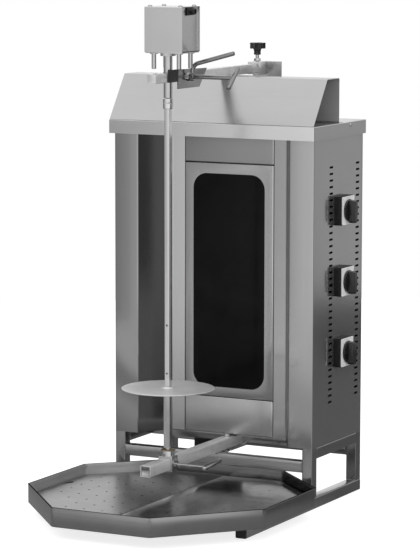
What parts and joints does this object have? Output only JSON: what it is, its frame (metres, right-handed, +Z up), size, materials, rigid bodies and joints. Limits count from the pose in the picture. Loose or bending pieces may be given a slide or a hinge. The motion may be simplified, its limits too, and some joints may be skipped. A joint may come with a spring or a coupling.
{
  "type": "electric skewer grill",
  "caption": "Electric skewer grill: recessed heater casing on a tube stand, sloped hood, turning upright spit with a lift-off motor, sliding arms and a slide-out drip tray.",
  "frame": {"origin": "on the floor, in the middle of the footprint of the grill with its tray pushed in", "axes": "+Z up, -Y towards the tray's front edge, +X towards the side with the switches"},
  "size_m": [0.574, 0.765, 1.1014],
  "materials": {
    "tube_steel": "brushed lengthwise",
    "casing_steel": "fine brushed, upright grain",
    "cover_steel": "fine brushed, crossways grain",
    "tray_steel": "satin, used",
    "spit_steel": "fine brushed",
    "arm_steel": "satin",
    "rod_steel": "turned and polished",
    "motor_steel": "fine brushed",
    "screw_steel": "bright",
    "ceramic_glass": "black ceramic glass, glossy",
    "cap_plastic": "matte",
    "switch_black": "matte",
    "switch_face": "satin",
    "knob_black": "semi-gloss",
    "black_plastic": "matte",
    "bronze": "satin",
    "inner_steel": "dull",
    "insulation": "pressed mineral board",
    "ribbon_alloy": "oxidised",
    "porcelain": "glazed",
    "motor_paint": "semi-matte"
  },
  "bodies": {
    "frame": {"skids": "tube_steel", "skid_caps": "cap_plastic", "frame_legs": "tube_steel", "side_rails": "tube_steel", "front_rail": "tube_steel", "rear_rail": "tube_steel", "mid_rail": "tube_steel", "casing_left": "casing_steel", "casing_right": "casing_steel", "back_panel": "casing_steel", "bottom_plate": "casing_steel", "top_cover": "cover_steel", "hood": "cover_steel", "window_panel": "casing_steel", "upper_panel": "casing_steel", "lower_panel": "casing_steel", "ceramic_glass": "ceramic_glass", "casing_screws": "screw_steel", "heater_carrier": "inner_steel", "heater_pan_top": "inner_steel", "heater_pan_middle": "inner_steel", "heater_pan_bottom": "inner_steel", "heater_boards": "insulation", "heater_ribbons": "ribbon_alloy", "switch_bases": "switch_black", "switch_plates": "switch_face", "switch_cams": "switch_black", "terminal_box": "black_plastic", "terminal_block": "porcelain", "cable_gland": "black_plastic", "lower_arm": "tube_steel", "arm_plug": "cap_plastic", "arm_bolt": "screw_steel", "rear_bracket": "arm_steel", "arm_clamp": "arm_steel"},
    "tray": {"drip_tray": "tray_steel"},
    "insert_left": {"insert_left": "tray_steel"},
    "insert_right": {"insert_right": "tray_steel"},
    "carriage": {"carriage": "arm_steel", "spit_cup": "bronze"},
    "lower_handle": {"lower_handle": "rod_steel"},
    "spit": {"spit_bar": "spit_steel", "spit_sleeve": "spit_steel"},
    "disc": {"spit_disc": "spit_steel"},
    "upper_arm": {"upper_arm": "arm_steel", "bearing_block": "black_plastic", "side_plate": "arm_steel"},
    "upper_handle": {"upper_handle": "rod_steel"},
    "lock_lever": {"lock_lever": "rod_steel"},
    "star_knob": {"star_knob": "knob_black"},
    "motor_unit": {"motor_cover": "motor_steel", "motor_base": "motor_steel", "gear_motor": "motor_paint", "motor_pins": "rod_steel", "cover_screws": "screw_steel", "motor_connector": "black_plastic"},
    "drive_shaft": {"drive_shaft": "rod_steel"},
    "knob_top": {"knob_top": "knob_black"},
    "knob_middle": {"knob_middle": "knob_black"},
    "knob_bottom": {"knob_bottom": "knob_black"}
  },
  "joints": [
    {"name": "tray_slide", "type": "slide", "parent": "frame", "child": "tray", "axis": [0, -1, 0], "range_m": [0, 0.35]},
    {"name": "insert_left_lift", "type": "slide", "parent": "tray", "child": "insert_left", "axis": [0, 0, 1], "range_m": [0, 0.026]},
    {"name": "insert_right_lift", "type": "slide", "parent": "tray", "child": "insert_right", "axis": [0, 0, 1], "range_m": [0, 0.026]},
    {"name": "carriage_slide", "type": "slide", "parent": "frame", "child": "carriage", "axis": [0, 1, 0], "range_m": [-0.03, 0.1]},
    {"name": "upper_arm_slide", "type": "slide", "parent": "frame", "child": "upper_arm", "axis": [0, 1, 0], "range_m": [-0.03, 0.1]},
    {"name": "lower_handle_turn", "type": "hinge", "parent": "carriage", "child": "lower_handle", "pos_m": [0.05, -0.0825, 0.1185], "axis": [1, 0, 0], "range_deg": [-15, 195]},
    {"name": "spit_spin", "type": "hinge", "parent": "carriage", "child": "spit", "pos_m": [0, -0.0825, 0.5], "axis": [0, 0, 1], "continuous": true},
    {"name": "disc_lift", "type": "slide", "parent": "spit", "child": "disc", "axis": [0, 0, 1], "range_m": [0, 0.3]},
    {"name": "motor_lift", "type": "slide", "parent": "upper_arm", "child": "motor_unit", "axis": [0, 0, 1], "range_m": [0, 0.11]},
    {"name": "drive_spin", "type": "hinge", "parent": "motor_unit", "child": "drive_shaft", "pos_m": [0, -0.0825, 0.95], "axis": [0, 0, 1], "continuous": true},
    {"name": "upper_handle_turn", "type": "hinge", "parent": "upper_arm", "child": "upper_handle", "pos_m": [0.06, -0.0209, 0.9473], "axis": [1, 0, 0], "range_deg": [-90, 360]},
    {"name": "lock_lever_turn", "type": "hinge", "parent": "upper_arm", "child": "lock_lever", "pos_m": [0.0265, -0.0209, 0.9473], "axis": [1, 0, 0], "range_deg": [-75, 5]},
    {"name": "star_knob_turn", "type": "hinge", "parent": "frame", "child": "star_knob", "pos_m": [0, 0.3445, 0.98], "axis": [0, 0, 1], "range_deg": [0, 540]},
    {"name": "knob_top_turn", "type": "hinge", "parent": "frame", "child": "knob_top", "pos_m": [0.264, 0.2645, 0.647], "axis": [1, 0, 0], "range_deg": [-120, 0]},
    {"name": "knob_middle_turn", "type": "hinge", "parent": "frame", "child": "knob_middle", "pos_m": [0.264, 0.2645, 0.49], "axis": [1, 0, 0], "range_deg": [-120, 0]},
    {"name": "knob_bottom_turn", "type": "hinge", "parent": "frame", "child": "knob_bottom", "pos_m": [0.264, 0.2645, 0.333], "axis": [1, 0, 0], "range_deg": [-120, 0]}
  ],
  "couplings": [
    {"joint": "upper_arm_slide", "follows": "carriage_slide", "ratio": 1},
    {"joint": "drive_spin", "follows": "spit_spin", "ratio": 1}
  ]
}
